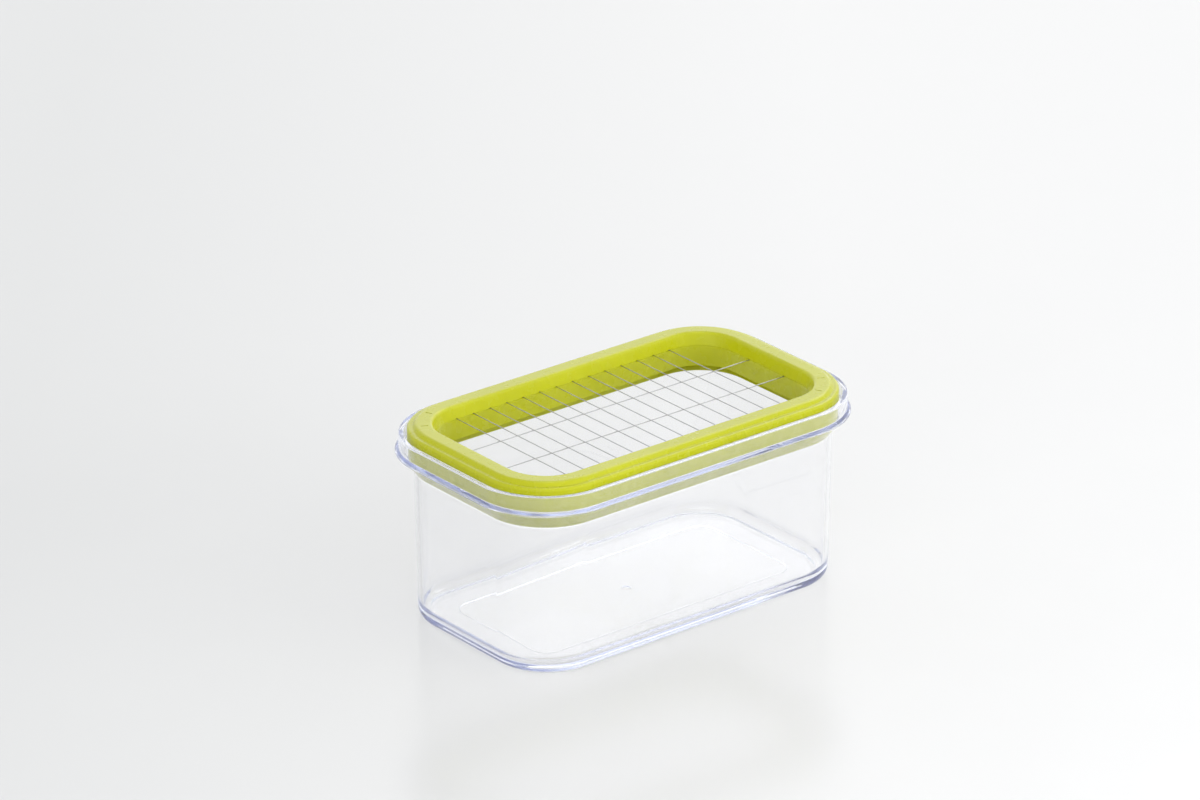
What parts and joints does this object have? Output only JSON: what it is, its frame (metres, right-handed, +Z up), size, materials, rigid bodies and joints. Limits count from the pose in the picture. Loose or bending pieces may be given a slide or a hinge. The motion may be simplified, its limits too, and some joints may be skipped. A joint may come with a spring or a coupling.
{
  "type": "butter dish with cutter",
  "caption": "Clear rounded-rectangular butter case with a stepped frame in its mouth, whose grid of thin wires cuts a block pushed down through it into slices.",
  "frame": {"origin": "on the table under the middle of the case", "axes": "+X along the case, +Y across it, +Z up out of its mouth"},
  "size_m": [0.193, 0.1166, 0.0892],
  "materials": {
    "clear_plastic": "clear, polished, with a faint blue-violet tint at the edges",
    "green_plastic": "yellow-green, opaque, satin gloss",
    "steel_wire": "drawn stainless steel"
  },
  "bodies": {
    "case": {"case": "clear_plastic"},
    "cutter": {"frame_lower_ring": "green_plastic", "frame_upper_ring": "green_plastic", "cross_wire_01": "steel_wire", "cross_wire_02": "steel_wire", "cross_wire_03": "steel_wire", "cross_wire_04": "steel_wire", "cross_wire_05": "steel_wire", "cross_wire_06": "steel_wire", "cross_wire_07": "steel_wire", "cross_wire_08": "steel_wire", "cross_wire_09": "steel_wire", "cross_wire_10": "steel_wire", "cross_wire_11": "steel_wire", "cross_wire_12": "steel_wire", "cross_wire_13": "steel_wire", "cross_wire_14": "steel_wire", "long_wire_1": "steel_wire", "long_wire_2": "steel_wire"}
  },
  "joints": [
    {"name": "cutter_lift", "type": "slide", "parent": "case", "child": "cutter", "axis": [0, 0, 1], "range_m": [0, 0.05]}
  ]
}
